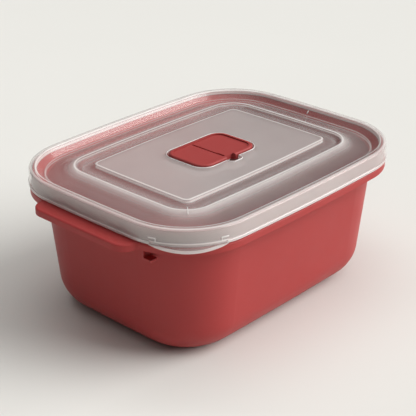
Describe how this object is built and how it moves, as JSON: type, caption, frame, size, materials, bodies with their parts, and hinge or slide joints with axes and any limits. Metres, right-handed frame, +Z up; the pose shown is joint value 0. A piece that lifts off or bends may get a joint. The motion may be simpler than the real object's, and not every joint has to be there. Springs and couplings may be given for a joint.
{
  "type": "lunch box",
  "caption": "Rectangular food box: tapered red tub with a flange and two end handles, frosted press-on lid with a moat and ridge, and a hinged red steam vent flap in the lid.",
  "frame": {"origin": "middle of the tub's base, on the surface that the box rests on", "axes": "+Z up; X along the box's length, through both handles; Y across its width, with the vent's hinge towards +Y"},
  "size_m": [0.217, 0.1546, 0.0884],
  "materials": {
    "red_plastic": "satin moulded polypropylene",
    "frosted_plastic": "frosted translucent polypropylene, satin sheen",
    "vent_red_plastic": "fine matte moulded polypropylene",
    "seal_silicone": "soft matte silicone"
  },
  "bodies": {
    "tub": {"tub": "red_plastic"},
    "lid": {"lid": "frosted_plastic"},
    "vent_flap": {"vent_flap": "vent_red_plastic", "vent_seal": "seal_silicone"}
  },
  "joints": [
    {"name": "lid_lift", "type": "slide", "parent": "tub", "child": "lid", "axis": [0, 0, 1], "range_m": [0, 0.12]},
    {"name": "vent_flap_hinge", "type": "hinge", "parent": "lid", "child": "vent_flap", "pos_m": [0, 0.0152, 0.0858], "axis": [-1, 0, 0], "range_deg": [0, 50]}
  ]
}
